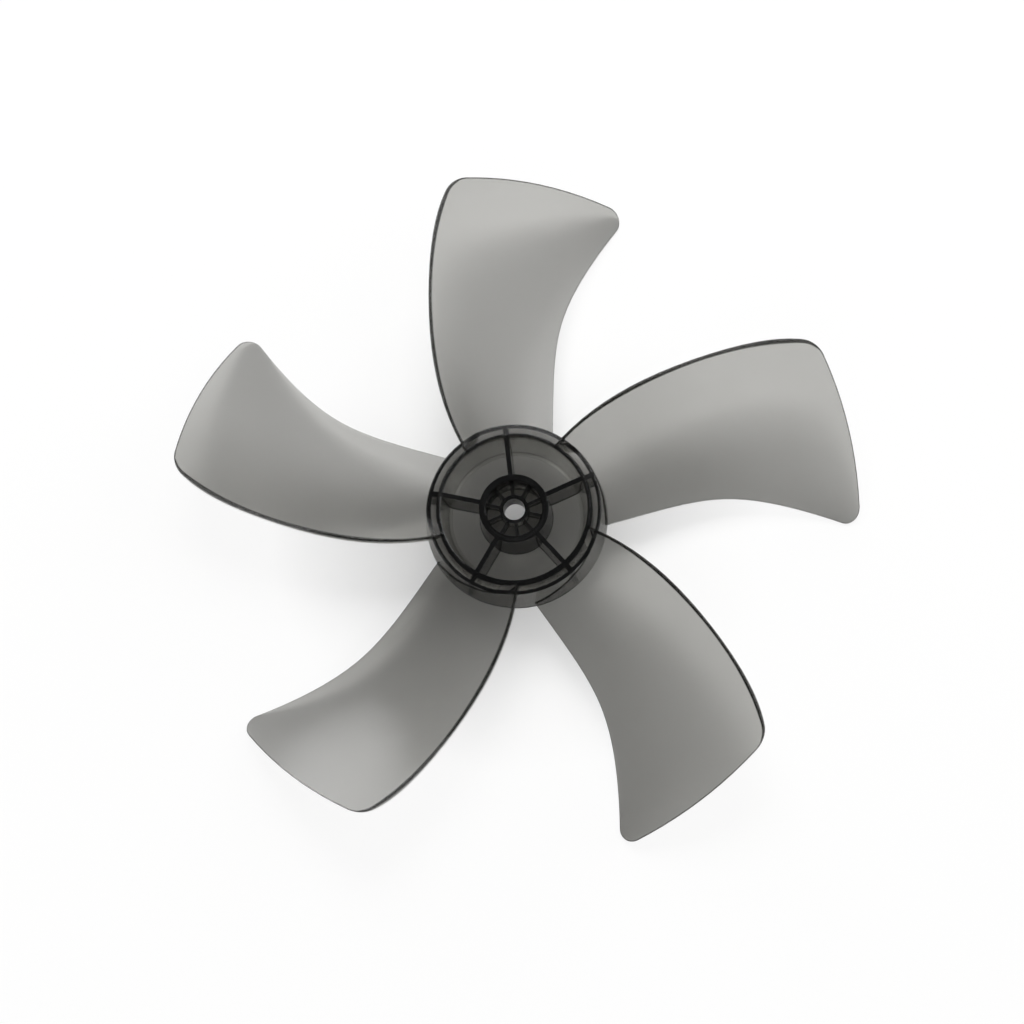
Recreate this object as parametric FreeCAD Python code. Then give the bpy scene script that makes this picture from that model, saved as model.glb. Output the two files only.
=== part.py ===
import FreeCAD, Part
import math
import os

# One-piece moulded fan blade in millimetres and degrees.
# The origin is where the wall of the shaft bore begins at its rear mouth, with the motor on the +Z side.

# Shaft bore and the boss around it
bore_diameter = 9.5
bore_length = 10.4
bore_chamfer = 0.5
tube_wall = 1.55
web_thickness = 4.0
boss_diameter = 30.4
boss_draft = 0.8
boss_wall = 2.8
recess_wall = 2.2

# Hub bowl, rim, shoulder and skirt: drafts and widths are measured along the radius
rim_above_bore = 2.4
hub_depth = 22.0
hub_wall = 1.6
floor_thickness = 1.8
rim_diameter = 66.6
lip_width = 1.2
lip_height = 0.8
bowl_draft = 2.6
shoulder_width = 4.6
shoulder_drop = 1.0
skirt_draft = 1.9
floor_chamfer = 1.2
shoulder_chamfer = 0.6
edge_chamfer = 0.3

# Ribs in the bowl and under the shoulder, and spokes around the bore tube
rib_count = 5
rib_thickness = 2.0
rib_below_rim = 0.9
rib_lead = 2.0
skirt_rib_lift = 2.0
spoke_count = 10
spoke_thickness = 1.1
spoke_below_bore = 1.6

# Blades: angles are measured from the blade's own axis, at equal steps from root to tip
blade_count = 5
first_blade_angle = 22.0
swept_diameter = 300.0
blade_thickness = 1.3
leading_angles = (34.5, 26.9, 19.5, 13.2, 6.4)
trailing_angles = (-33.0, -19.2, -16.4, -19.2, -23.0)

# Heights of the leading edge above the rim, and the pitch and the bulge of the section behind it
leading_root_rise = 0.3
leading_tip_rise = 7.0
root_pitch = 21.7
tip_pitch = 30.0
root_camber = 2.0
tip_camber = 3.5

# Blade corners and the bead that stiffens the leading edge
leading_corner_radius = 12.0
trailing_corner_radius = 6.0
bead_root_depth = 6.4
bead_tip_depth = 5.4
bead_end_depth = 0.4
bead_above_share = 0.15
bead_width_share = 0.22
bead_rings = 5
bead_sides = 8

# Share by which the moulded surface runs past the blade's edges before it is trimmed
trim_share = 0.1

# Largest error in a computed surface, and in matching an edge to its place
tolerance = 0.001

# Heights and radii that follow from the sizes above
rim_height = rim_above_bore
front_height = rim_height - hub_depth
floor_height = front_height + floor_thickness
shoulder_height = rim_height - lip_height
crease_height = shoulder_height - shoulder_drop
under_height = crease_height - hub_wall
web_height = web_thickness - bore_length
rib_height = rim_height - rib_below_rim
bore_radius = bore_diameter / 2
tube_radius = bore_radius + tube_wall
boss_radius = boss_diameter / 2
well_radius = boss_radius - boss_wall
recess_radius = boss_radius - recess_wall
rim_radius = rim_diameter / 2
bowl_radius = rim_radius - lip_width
floor_radius = bowl_radius - bowl_draft
crease_radius = rim_radius + shoulder_width
front_radius = crease_radius + skirt_draft
root_radius = rim_radius - lip_width / 2
tip_radius = swept_diameter / 2
stations = range(len(leading_angles))
last_station = stations[-1]
root_chord = root_radius * math.radians(leading_angles[0] - trailing_angles[0])
tip_chord = tip_radius * math.radians(leading_angles[-1] - trailing_angles[-1])
plan_height = -tip_radius
plan_depth = 2 * tip_radius

origin = FreeCAD.Vector(0, 0, 0)
upward = FreeCAD.Vector(0, 0, 1)


def at(radius, height, across=0.0):
    return FreeCAD.Vector(radius, across, height)


def face_of(points):
    return Part.Face(Part.makePolygon(points + points[:1]))


def turned(points):
    return face_of(points).revolve(origin, upward, 360)


def around(solid, count, first_angle):
    copies = []
    for k in range(count):
        copy = solid.copy()
        copy.rotate(origin, upward, first_angle + 360 * k / count)
        copies.append(copy)
    return copies


def on_circle(edge, radius, height):
    if not isinstance(edge.Curve, Part.Circle):
        return False
    centre = edge.Curve.Center
    return abs(edge.Curve.Radius - radius) < tolerance and abs(centre.z - height) < tolerance


def edges_on(solid, circles):
    return [e for e in solid.Edges if any(on_circle(e, r, z) for r, z in circles)]


def hub():
    solid = turned([
        at(bore_radius + bore_chamfer, bore_chamfer), at(tube_radius, bore_chamfer),
        at(tube_radius, web_height), at(well_radius, web_height),
        at(well_radius, rim_height), at(boss_radius, rim_height),
        at(boss_radius + boss_draft, floor_height), at(floor_radius, floor_height),
        at(bowl_radius, rim_height), at(rim_radius, rim_height),
        at(rim_radius, shoulder_height), at(crease_radius, crease_height),
        at(front_radius, front_height), at(front_radius - hub_wall, front_height),
        at(crease_radius - hub_wall, under_height), at(bowl_radius + hub_wall, under_height),
        at(floor_radius + hub_wall, front_height), at(recess_radius, front_height),
        at(recess_radius, -bore_length), at(bore_radius, -bore_length), at(bore_radius, 0),
    ])
    solid = solid.makeChamfer(floor_chamfer, edges_on(solid, [(floor_radius, floor_height)]))
    solid = solid.makeChamfer(shoulder_chamfer, edges_on(solid, [(crease_radius, crease_height)]))
    top_edges = [(r, rim_height) for r in (well_radius, boss_radius, bowl_radius, rim_radius)]
    return solid.makeChamfer(edge_chamfer, edges_on(solid, top_edges))


def plate(corners, thickness):
    # A flat rib that stands across the X axis plane, from its corners as radius and height
    face = face_of([at(radius, height, -thickness / 2) for radius, height in corners])
    return face.extrude(FreeCAD.Vector(0, thickness, 0))


def bowl_rib():
    inner = boss_radius - boss_wall / 2
    bottom = floor_height - floor_thickness / 2
    return plate([
        (inner, bottom), (floor_radius + hub_wall / 2, bottom),
        (root_radius, rib_height), (inner, rib_height),
    ], rib_thickness)


def skirt_rib():
    bottom = front_height + skirt_rib_lift
    top = under_height + hub_wall / 2
    return plate([
        (floor_radius + hub_wall / 2, bottom), (front_radius - hub_wall, bottom),
        (crease_radius - hub_wall / 2, top), (bowl_radius + hub_wall / 2, top),
    ], rib_thickness)


def spoke():
    inner = (bore_radius + tube_radius) / 2
    outer = well_radius + boss_wall / 2
    bottom = web_height - web_thickness / 2
    return plate([
        (inner, bottom), (outer, bottom),
        (outer, -spoke_below_bore), (inner, -spoke_below_bore),
    ], spoke_thickness)


def between(root, tip, share):
    return root + share * (tip - root)


def from_axis(radius, angle, height):
    turn = math.radians(angle)
    return FreeCAD.Vector(radius * math.cos(turn), radius * math.sin(turn), height)


def sheet_point(share, chord):
    # Share runs from root to tip, and chord from 0 at the trailing side to 1 at the leading side
    radius = between(root_radius, tip_radius, share)
    behind = (1 - chord) * between(root_chord, tip_chord, share)
    angle = between(leading_angles[0], leading_angles[-1], share) - math.degrees(behind / radius)
    rise = between(leading_root_rise, leading_tip_rise, share)
    fall = behind * math.tan(math.radians(between(root_pitch, tip_pitch, share)))
    bulge = 4 * chord * (1 - chord) * between(root_camber, tip_camber, share)
    return from_axis(radius, angle, rim_height + rise - fall + bulge)


def rear_face():
    shares = [between(0, 1 + trim_share, k / last_station) for k in stations]
    chords = [between(-trim_share, 1 + trim_share, k / last_station) for k in stations]
    surface = Part.BSplineSurface()
    surface.interpolate([[sheet_point(share, chord) for chord in chords] for share in shares])
    return surface.toShape()


def edge_in_plan(angles):
    radii = [between(root_radius, tip_radius, k / last_station) for k in stations]
    curve = Part.BSplineCurve()
    curve.interpolate([from_axis(radii[k], angles[k], plan_height) for k in stations])
    return curve.toShape()


def round_corner(prism, corner, radius):
    foot = Part.Vertex(corner)
    upright = [e for e in prism.Edges if abs(e.Length - plan_depth) < tolerance]
    return prism.makeFillet(radius, [min(upright, key=lambda e: e.distToShape(foot)[0])])


def plan_prism(leading, trailing):
    root_lead, tip_lead = [v.Point for v in leading.Vertexes]
    root_trail, tip_trail = [v.Point for v in trailing.Vertexes]
    middle_angle = (leading_angles[-1] + trailing_angles[-1]) / 2
    tip = Part.Arc(tip_trail, from_axis(tip_radius, middle_angle, plan_height), tip_lead).toShape()
    root = Part.makeLine(root_trail, root_lead)
    outline = Part.Wire(Part.__sortEdges__([leading, tip, trailing, root]))
    prism = Part.Face(outline).extrude(upward * plan_depth)
    prism = round_corner(prism, tip_trail, trailing_corner_radius)
    return round_corner(prism, tip_lead, leading_corner_radius)


def along_face(rear, edge, root):
    # Points of the rear face over an edge of the plan, in order from the root
    lifted = rear.makeParallelProjection(Part.Wire([edge]), upward)
    points = lifted.Edges[0].discretize(bead_rings)
    return sorted(points, key=lambda p: math.hypot(p.x - root.x, p.y - root.y))


def bead_ring(centre, along, radius):
    across = along.cross(upward).normalize() * bead_width_share
    rise = across.cross(along).normalize()
    turns = [2 * math.pi * k / bead_sides for k in range(bead_sides + 1)]
    return Part.makePolygon(
        [centre + across * (radius * math.cos(t)) + rise * (radius * math.sin(t)) for t in turns])


def bead(rear, prism, leading):
    # The bead follows the leading edge and dies away round its corner
    root_end, tip_end = leading.Vertexes
    foot = [e for e in prism.Edges if e.BoundBox.ZMax - plan_height < tolerance]
    corner = min(foot, key=lambda e: e.distToShape(tip_end)[0])
    touching = [e for e in foot if e.distToShape(root_end)[0] < tolerance]
    side = min(touching, key=lambda e: e.distToShape(corner)[0])
    root = root_end.Point
    points = along_face(rear, side, root) + along_face(rear, corner, root)[1:]
    spine = Part.BSplineCurve()
    spine.interpolate(points)
    last = bead_rings - 1
    rings = []
    for k, point in enumerate(points):
        depth = between(bead_root_depth, bead_tip_depth, k / last)
        if k > last:
            depth = between(bead_tip_depth, bead_end_depth, k / last - 1)
        centre = point + upward * (bead_above_share * depth - depth / 2)
        rings.append(bead_ring(centre, spine.tangent(spine.parameter(point))[0], depth / 2))
    return Part.makeLoft(rings, True)


def hub_core():
    # The space inside the middle of the hub's outer wall, which the blade roots stop at
    top = rim_height + plan_depth
    half = hub_wall / 2
    return turned([
        at(0, plan_height), at(0, top), at(root_radius, top), at(root_radius, shoulder_height - half),
        at(crease_radius - half, crease_height - half), at(front_radius - half, front_height),
        at(front_radius - half, plan_height),
    ])


def blade():
    rear = rear_face()
    leading = edge_in_plan(leading_angles)
    prism = plan_prism(leading, edge_in_plan(trailing_angles))
    sheet = rear.makeOffsetShape(-blade_thickness, tolerance, fill=True)
    return sheet.common(prism).fuse(bead(rear, prism, leading)).cut(hub_core())


def fan_blade():
    pieces = around(bowl_rib(), rib_count, first_blade_angle + rib_lead)
    pieces += around(skirt_rib(), rib_count, first_blade_angle + rib_lead)
    pieces += around(spoke(), spoke_count, first_blade_angle + rib_lead)
    pieces += around(blade(), blade_count, first_blade_angle)
    return hub().multiFuse(pieces).removeSplitter()


os.makedirs("parts", exist_ok=True)
moulding = fan_blade()
print(len(moulding.Solids), moulding.isValid(), round(moulding.Volume))
moulding.Solids[0].exportStep("parts/fan_blade.step")
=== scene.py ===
import math
import bpy
from mathutils import Matrix, Vector


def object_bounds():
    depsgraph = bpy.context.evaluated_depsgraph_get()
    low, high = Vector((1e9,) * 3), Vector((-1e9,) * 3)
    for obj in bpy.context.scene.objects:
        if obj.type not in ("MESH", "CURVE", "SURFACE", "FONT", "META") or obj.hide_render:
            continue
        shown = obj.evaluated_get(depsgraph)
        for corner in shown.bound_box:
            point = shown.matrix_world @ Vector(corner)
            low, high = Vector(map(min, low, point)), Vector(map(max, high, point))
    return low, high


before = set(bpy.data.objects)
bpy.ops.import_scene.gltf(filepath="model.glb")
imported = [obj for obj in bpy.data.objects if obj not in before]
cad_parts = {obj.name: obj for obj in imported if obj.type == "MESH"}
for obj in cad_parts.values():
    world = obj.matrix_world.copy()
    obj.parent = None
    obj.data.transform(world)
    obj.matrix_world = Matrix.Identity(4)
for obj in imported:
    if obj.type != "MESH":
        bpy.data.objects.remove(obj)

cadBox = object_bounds()
scene = bpy.context.scene
mmPerMetre = 1000.0
print("stage 1: frame loaded")


def linearColour(hexText):
    # sRGB hex to the linear values that shaders work with
    shares = [int(hexText[i:i + 2], 16) / 255 for i in (1, 3, 5)]
    return [c / 12.92 if c <= 0.04045 else ((c + 0.055) / 1.055) ** 2.4 for c in shares] + [1.0]


def addNode(tree, kind, values=None, links=None, **settings):
    # values go to sockets by name or number, links are (node, output) pairs
    node = tree.nodes.new(kind)
    for name, setting in settings.items():
        setattr(node, name, setting)
    for name, value in (values or {}).items():
        node.inputs[name].default_value = value
    for name, (source, output) in (links or {}).items():
        tree.links.new(source.outputs[output], node.inputs[name])
    return node


def newMaterial(name):
    material = bpy.data.materials.new(name)
    material.use_nodes = True
    material.node_tree.nodes.clear()
    return material, material.node_tree


# Smoke styrene-acrylonitrile from a polished mould: clear glossy resin with a grey dye, so thick places and
# layered walls go dark. A dark line of painted shade runs along every edge.
smokePlastic = {
    "dye": "#7c7a6e",             # what the dye lets through
    "dyePerMetre": 715.0,         # how strongly the dye absorbs
    "ior": 1.57,
    "roughness": (0.05, 0.13),    # polished, slightly dulled in patches
    "patchSize": 30.0,            # millimetres across one dulled patch
    "patchDetail": 4.0,           # how ragged a patch is
    "patchLevels": (0.3, 0.7),    # noise levels of the clearest and the dullest place
    "flowSpacing": 6.0,           # millimetres between faint flow ripples
    "flowDepth": 0.02,            # millimetres
    "flowDetail": 2.0,
    "edgeReach": 0.9,             # millimetres from each edge over which the painted edge shade reaches
    "edgeSamples": 6,             # more give a smoother line and a slower render
    "paintedEdgeShade": "#1c1c1a",        # painted shade: the dark line that a rounded edge would show, painted along every edge
    "edgeTurn": (0.84, 0.99),     # cosine of the turn where that line is full and where it ends
    "clear": "#ffffff",           # no painted shade away from the edges
}


def makeSmokePlastic():
    v = smokePlastic
    material, tree = newMaterial("smoke_styrene_acrylonitrile")
    place = addNode(tree, "ShaderNodeTexCoord")
    patches = addNode(tree, "ShaderNodeTexNoise",
                      {"Scale": mmPerMetre / v["patchSize"], "Detail": v["patchDetail"]},
                      {"Vector": (place, "Object")})
    clearest, dullest = v["patchLevels"]
    low, high = v["roughness"]
    rough = addNode(tree, "ShaderNodeMapRange",
                    {"From Min": clearest, "From Max": dullest, "To Min": low, "To Max": high},
                    {"Value": (patches, "Fac")})
    ripples = addNode(tree, "ShaderNodeTexNoise",
                      {"Scale": mmPerMetre / v["flowSpacing"], "Detail": v["flowDetail"]},
                      {"Vector": (place, "Object")})
    bump = addNode(tree, "ShaderNodeBump", {"Strength": 1.0, "Distance": v["flowDepth"] / mmPerMetre},
                   {"Height": (ripples, "Fac")})
    # painted shade: a dark line is painted where the rounded normal turns away from the flat one
    edges = addNode(tree, "ShaderNodeBevel", {"Radius": v["edgeReach"] / mmPerMetre},
                    samples=v["edgeSamples"])
    faces = addNode(tree, "ShaderNodeNewGeometry")
    turned = addNode(tree, "ShaderNodeVectorMath", links={0: (edges, "Normal"), 1: (faces, "Normal")},
                     operation="DOT_PRODUCT")
    full, end = v["edgeTurn"]
    flat = addNode(tree, "ShaderNodeMapRange", {"From Min": full, "From Max": end},
                   {"Value": (turned, "Value")})
    # a colour mix takes its factor at 0 and its colours at 6 and 7, and gives the result at 2
    edgeShadeMix = addNode(tree, "ShaderNodeMix", {6: linearColour(v["paintedEdgeShade"]), 7: linearColour(v["clear"])},
                   {0: (flat, "Result")}, data_type="RGBA")
    resin = addNode(tree, "ShaderNodeBsdfPrincipled", {"Transmission Weight": 1.0, "IOR": v["ior"]},
                    {"Base Color": (edgeShadeMix, 2), "Roughness": (rough, "Result"), "Normal": (bump, "Normal")})
    dye = addNode(tree, "ShaderNodeVolumeAbsorption",
                  {"Color": linearColour(v["dye"]), "Density": v["dyePerMetre"]})
    addNode(tree, "ShaderNodeOutputMaterial", links={"Surface": (resin, "BSDF"), "Volume": (dye, "Volume")})
    return material


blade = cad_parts["fan_blade"]
blade.data.materials.clear()
blade.data.materials.append(makeSmokePlastic())
print("stage 2: moulding dressed")


# Matt white laminate that the moulding lies on, with painted white light mixed in so it reads as a white
# background and its shadows wash out away from the hub
table = {
    "colour": "#fcfcfb",
    "white": "#ffffff",
    "width": 3.0,                  # metres
    "whiteSeen": 0.9,              # share of plain white where it is seen directly, away from the hub
    "whiteThrough": 0.25,          # the same where it is seen through the resin
    "whiteReach": (-0.018, 0.11),  # metres from the hub's axis over which the white comes in
}


def makeTable():
    material, tree = newMaterial("matt_white_laminate_and_painted_white")
    top = addNode(tree, "ShaderNodeBsdfDiffuse", {"Color": linearColour(table["colour"])})
    # painted light: a plain white glow, mixed in where the table is seen directly or through the resin
    white = addNode(tree, "ShaderNodeEmission", {"Color": linearColour(table["white"]), "Strength": 1.0})
    ray = addNode(tree, "ShaderNodeLightPath")
    seen = addNode(tree, "ShaderNodeMath", {1: table["whiteSeen"]}, {0: (ray, "Is Camera Ray")},
                   operation="MULTIPLY")
    through = addNode(tree, "ShaderNodeMath", {1: table["whiteThrough"]}, {0: (ray, "Is Transmission Ray")},
                      operation="MULTIPLY")
    share = addNode(tree, "ShaderNodeMath", links={0: (seen, "Value"), 1: (through, "Value")},
                    operation="MAXIMUM")
    # less of the white near the hub, so its shadow stays dark
    place = addNode(tree, "ShaderNodeTexCoord")
    flat = addNode(tree, "ShaderNodeVectorMath", {1: (1.0, 1.0, 0.0)}, {0: (place, "Object")},
                   operation="MULTIPLY")
    reach = addNode(tree, "ShaderNodeVectorMath", links={0: (flat, "Vector")}, operation="LENGTH")
    near, far = table["whiteReach"]
    clear = addNode(tree, "ShaderNodeMapRange", {"From Min": near, "From Max": far},
                    {"Value": (reach, "Value")})
    share = addNode(tree, "ShaderNodeMath", links={0: (share, "Value"), 1: (clear, "Result")},
                    operation="MULTIPLY")
    mixed = addNode(tree, "ShaderNodeMixShader",
                    links={0: (share, "Value"), 1: (top, "BSDF"), 2: (white, "Emission")})
    addNode(tree, "ShaderNodeOutputMaterial", links={"Surface": (mixed, "Shader")})
    half = table["width"] / 2
    height = cadBox[0].z
    corners = [(-half, -half, height), (half, -half, height), (half, half, height), (-half, half, height)]
    mesh = bpy.data.meshes.new("table")
    mesh.from_pydata(corners, [], [(0, 1, 2, 3)])
    mesh.materials.append(material)
    floor = bpy.data.objects.new("table", mesh)
    scene.collection.objects.link(floor)


makeTable()
print("stage 3: table laid")


# Soft studio light in a dim room. Brightness is against plain white, heights and spreads are in degrees.
# A pale surface ends between the two angles of its spread, and upward between the two shares of its fade.
studio = {
    "white": "#ffffff",
    "room": 0.12,            # brightness of the rest of the room
    "horizon": (0.2, 0.4),   # upward shares between which the white background ends
    "paleSurfaces": [
        {"name": "backdrop", "side": (0.2, 1.0), "height": 8.0,
         "spread": (25.0, 70.0), "fade": (0.3, 0.65), "brightness": 2.15},
        {"name": "reflector", "side": (0.95, 0.31), "height": 31.0,
         "spread": (9.0, 34.0), "fade": (0.8, 0.95), "brightness": 2.0},
        {"name": "window", "side": (-0.53, 0.85), "height": 22.0,
         "spread": (2.0, 13.0), "fade": (0.8, 0.95), "brightness": 2.4},
        {"name": "screen", "side": (-0.05, -1.0), "height": 50.0,
         "spread": (6.0, 26.0), "fade": (0.9, 1.0), "brightness": 0.8},
        {"name": "lamp face", "side": (0.0, 1.0), "height": 64.0,
         "spread": (3.0, 9.0), "fade": (0.97, 1.0), "brightness": 6.4},
    ],
    # distance and size in metres
    "softbox": {"side": (0.0, 1.0), "height": 57.0, "distance": 1.7, "size": (1.1, 0.8), "brightness": 6.0},
}


def wayTo(side, height):
    rise = math.radians(height)
    flat = Vector(side).normalized() * math.cos(rise)
    return Vector((flat.x, flat.y, math.sin(rise)))


def makeLamp(name, v):
    light = bpy.data.lights.new(name, "AREA")
    light.shape = "RECTANGLE"
    light.size, light.size_y = v["size"]
    light.energy = v["brightness"] * math.pi * light.size * light.size_y
    lamp = bpy.data.objects.new(name, light)
    lamp.location = wayTo(v["side"], v["height"]) * v["distance"]
    lamp.rotation_mode = "QUATERNION"
    lamp.rotation_quaternion = (-lamp.location).to_track_quat("-Z", "Y")
    lamp.visible_glossy = False   # lights the table, but leaves no hard patch on the polished blades
    scene.collection.objects.link(lamp)


def makeStudio():
    world = bpy.data.worlds.new("room")
    world.use_nodes = True
    tree = world.node_tree
    tree.nodes.clear()
    place = addNode(tree, "ShaderNodeTexCoord")
    parts = addNode(tree, "ShaderNodeSeparateXYZ", links={"Vector": (place, "Generated")})
    level = addNode(tree, "ShaderNodeValue")
    level.outputs[0].default_value = studio["room"]
    for v in studio["paleSurfaces"]:
        near = addNode(tree, "ShaderNodeVectorMath", {1: wayTo(v["side"], v["height"])},
                       {0: (place, "Generated")}, operation="DOT_PRODUCT")
        full, end = [math.cos(math.radians(angle)) for angle in v["spread"]]
        pale = addNode(tree, "ShaderNodeMapRange",
                       {"From Min": end, "From Max": full, "To Max": v["brightness"]},
                       {"Value": (near, "Value")}, interpolation_type="SMOOTHSTEP")
        low, high = v["fade"]
        below = addNode(tree, "ShaderNodeMapRange",
                        {"From Min": low, "From Max": high, "To Min": 1.0, "To Max": 0.0},
                        {"Value": (parts, "Z")}, interpolation_type="SMOOTHSTEP")
        level = addNode(tree, "ShaderNodeMath", operation="MULTIPLY_ADD",
                        links={0: (pale, "Result"), 1: (below, "Result"), 2: (level, "Value")})
    # plain white near the horizon, where a low view sees the room directly or through the resin
    ray = addNode(tree, "ShaderNodeLightPath")
    seen = addNode(tree, "ShaderNodeMath", operation="MAXIMUM",
                   links={0: (ray, "Is Camera Ray"), 1: (ray, "Is Transmission Ray")})
    # light that has met the table has a depth of one or more, and doesn't count as seen
    first = addNode(tree, "ShaderNodeMath", {1: 0.5}, {0: (ray, "Diffuse Depth")}, operation="LESS_THAN")
    seen = addNode(tree, "ShaderNodeMath", operation="MULTIPLY",
                   links={0: (seen, "Value"), 1: (first, "Value")})
    low, high = studio["horizon"]
    flat = addNode(tree, "ShaderNodeMapRange",
                   {"From Min": low, "From Max": high, "To Min": 1.0, "To Max": 0.0},
                   {"Value": (parts, "Z")}, interpolation_type="SMOOTHSTEP")
    share = addNode(tree, "ShaderNodeMath", operation="MULTIPLY",
                    links={0: (seen, "Value"), 1: (flat, "Result")})
    # a plain mix takes its factor at 0 and its values at 2 and 3
    level = addNode(tree, "ShaderNodeMix", {3: 1.0}, {0: (share, "Value"), 2: (level, "Value")})
    back = addNode(tree, "ShaderNodeBackground", {"Color": linearColour(studio["white"])},
                   {"Strength": (level, "Result")})
    addNode(tree, "ShaderNodeOutputWorld", links={"Surface": (back, "Background")})
    scene.world = world
    makeLamp("softbox", studio["softbox"])


makeStudio()
print("stage 4: studio lit")


# Long lens that looks down on the hub, a little from the lower right of the picture
view = {
    "tilt": 13.15,              # degrees from straight above towards the picture's foot
    "lean": 3.4,                # degrees from straight above towards the picture's right
    "distance": 2.1675,         # metres from the hub rim
    "aside": (0.0008, 0.0017),  # metres that the rim lies off the middle of the picture
    "rimHeight": 0.0024,        # metres from the frame's origin to the hub rim
    "lens": 175.8,              # millimetres
    "sensor": 36.0,             # millimetres across
}


def makeCamera():
    data = bpy.data.cameras.new("camera")
    data.sensor_width = view["sensor"]
    data.lens = view["lens"]
    camera = bpy.data.objects.new("camera", data)
    lean = Matrix.Rotation(math.radians(view["lean"]), 4, "Y")
    turn = lean @ Matrix.Rotation(math.radians(view["tilt"]), 4, "X")
    right, up = view["aside"]
    stand = turn @ Vector((-right, -up, view["distance"])) + Vector((0, 0, view["rimHeight"]))
    camera.matrix_world = Matrix.Translation(stand) @ turn
    scene.collection.objects.link(camera)
    scene.camera = camera


makeCamera()
scene.view_settings.view_transform = "Standard"
print("stage 5: camera set")

bpy.context.view_layer.update()
